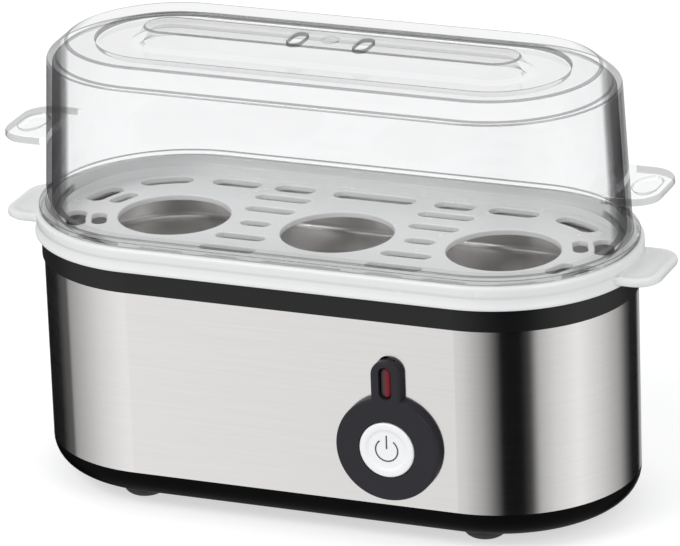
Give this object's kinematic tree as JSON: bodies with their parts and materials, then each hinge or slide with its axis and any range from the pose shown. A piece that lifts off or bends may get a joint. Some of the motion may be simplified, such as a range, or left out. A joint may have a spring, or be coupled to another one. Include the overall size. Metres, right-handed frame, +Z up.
{
  "type": "egg boiler",
  "caption": "Small electric egg boiler: oval brushed steel base with push button and indicator, white egg tray, clear vented lid with end grips.",
  "frame": {"origin": "on the surface it stands on, under the middle of its overall box", "axes": "+X along the row of eggs, -Y to the front with the button, +Z up"},
  "size_m": [0.2136, 0.0902, 0.144],
  "materials": {
    "black_plastic": "satin moulded black",
    "rubber": "matt black",
    "brushed_steel": "brushed along the length",
    "screw_steel": "plated",
    "pan_metal": "satin",
    "silicone": "soft",
    "brass": "plain",
    "heat_proof_plastic": "moulded",
    "red_lens": "glossy, translucent",
    "lamp_glass": "clear",
    "button_white": "glossy",
    "wire_brown": "insulation",
    "wire_blue": "insulation",
    "wire_green": "insulation",
    "tray_white": "glossy moulded white",
    "clear_plastic": "clear, polished"
  },
  "bodies": {
    "housing": {"base_housing": "black_plastic", "rubber_feet": "rubber", "steel_sleeve": "brushed_steel", "upper_collar": "black_plastic", "body_screws": "screw_steel", "heating_pan": "pan_metal", "pan_seal": "silicone", "heating_element": "screw_steel", "element_terminals": "brass", "thermostat": "heat_proof_plastic", "thermostat_nuts": "screw_steel", "shield_nuts": "screw_steel", "thermal_fuse": "pan_metal", "fuse_clip": "screw_steel", "earth_tag": "brass", "shield_spacers": "pan_metal", "heat_shield": "pan_metal", "control_bezel": "black_plastic", "indicator_lens": "red_lens", "indicator_lamp": "lamp_glass", "switch_bracket": "black_plastic", "bezel_screws": "screw_steel", "power_switch": "heat_proof_plastic", "button_spring": "screw_steel", "cord_gland": "black_plastic", "gland_nut": "black_plastic", "cord_clamp": "heat_proof_plastic", "clamp_screws": "screw_steel", "terminal_block": "heat_proof_plastic", "terminal_screws": "brass", "block_screws": "screw_steel", "live_wire": "wire_brown", "switched_wire": "wire_brown", "fuse_wire": "wire_brown", "neutral_wire": "wire_blue", "element_wire": "wire_blue", "earth_wire": "wire_green"},
    "button": {"button_cap": "button_white"},
    "tray": {"egg_tray": "tray_white"},
    "cover": {"lid": "clear_plastic"}
  },
  "joints": [
    {"name": "button_press", "type": "slide", "parent": "housing", "child": "button", "axis": [0, 1, 0], "range_m": [0, 0.0025], "stiffness_N_per_m": 400, "springref_m": -0.002, "deforming": ["button_spring"]},
    {"name": "tray_lift", "type": "slide", "parent": "housing", "child": "tray", "axis": [0, 0, 1], "range_m": [0, 0.03]},
    {"name": "lid_lift", "type": "slide", "parent": "tray", "child": "cover", "axis": [0, 0, 1], "range_m": [0, 0.07]}
  ]
}
